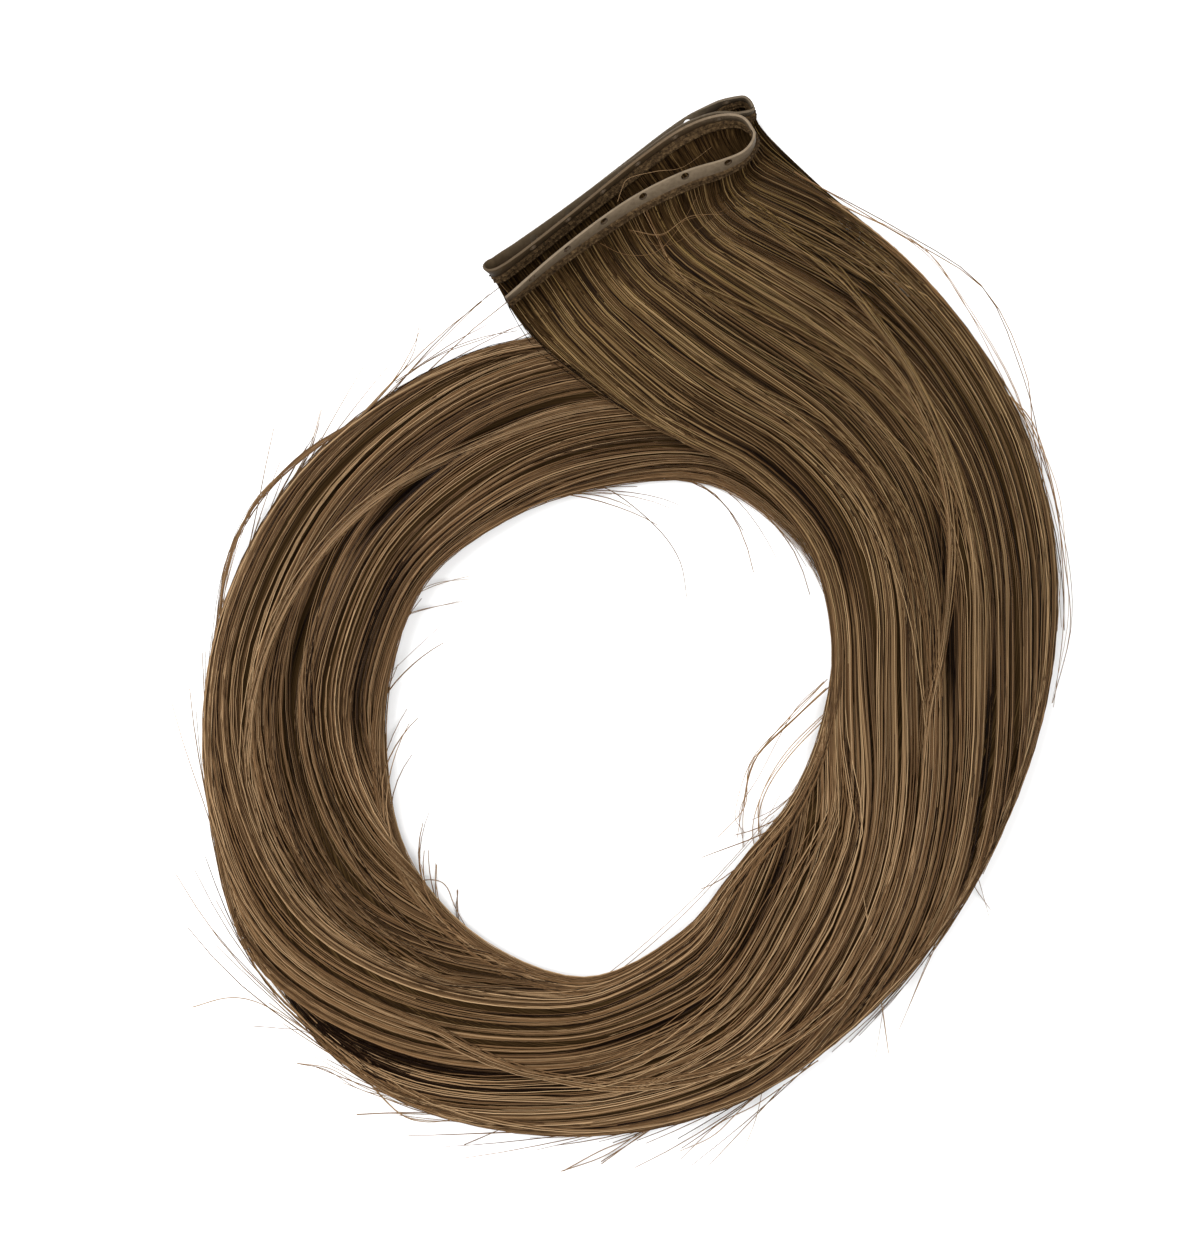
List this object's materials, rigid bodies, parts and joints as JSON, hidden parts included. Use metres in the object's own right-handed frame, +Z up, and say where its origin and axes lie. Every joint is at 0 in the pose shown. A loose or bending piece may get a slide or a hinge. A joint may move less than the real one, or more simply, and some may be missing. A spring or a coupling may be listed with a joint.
{
  "type": "butterfly weft hair extension",
  "caption": "Perforated weft strip with a sewn hem, folded on itself, with long straight brown hair coiled flat into a ring; sewn or beaded along the strip to lengthen or thicken hair.",
  "frame": {"origin": "on the table, under the middle of the whole piece", "axes": "+Z up from the table, +Y from the coil towards the folded weft, +X to the right seen from above"},
  "size_m": [0.2117, 0.2588, 0.0243],
  "materials": {
    "tape": "satin",
    "hem": "sewn thread",
    "hair": "smooth hair with a soft sheen"
  },
  "bodies": {
    "root": {"perforated_tape": "tape", "sewn_hem": "hem", "hair": "hair"}
  },
  "joints": []
}
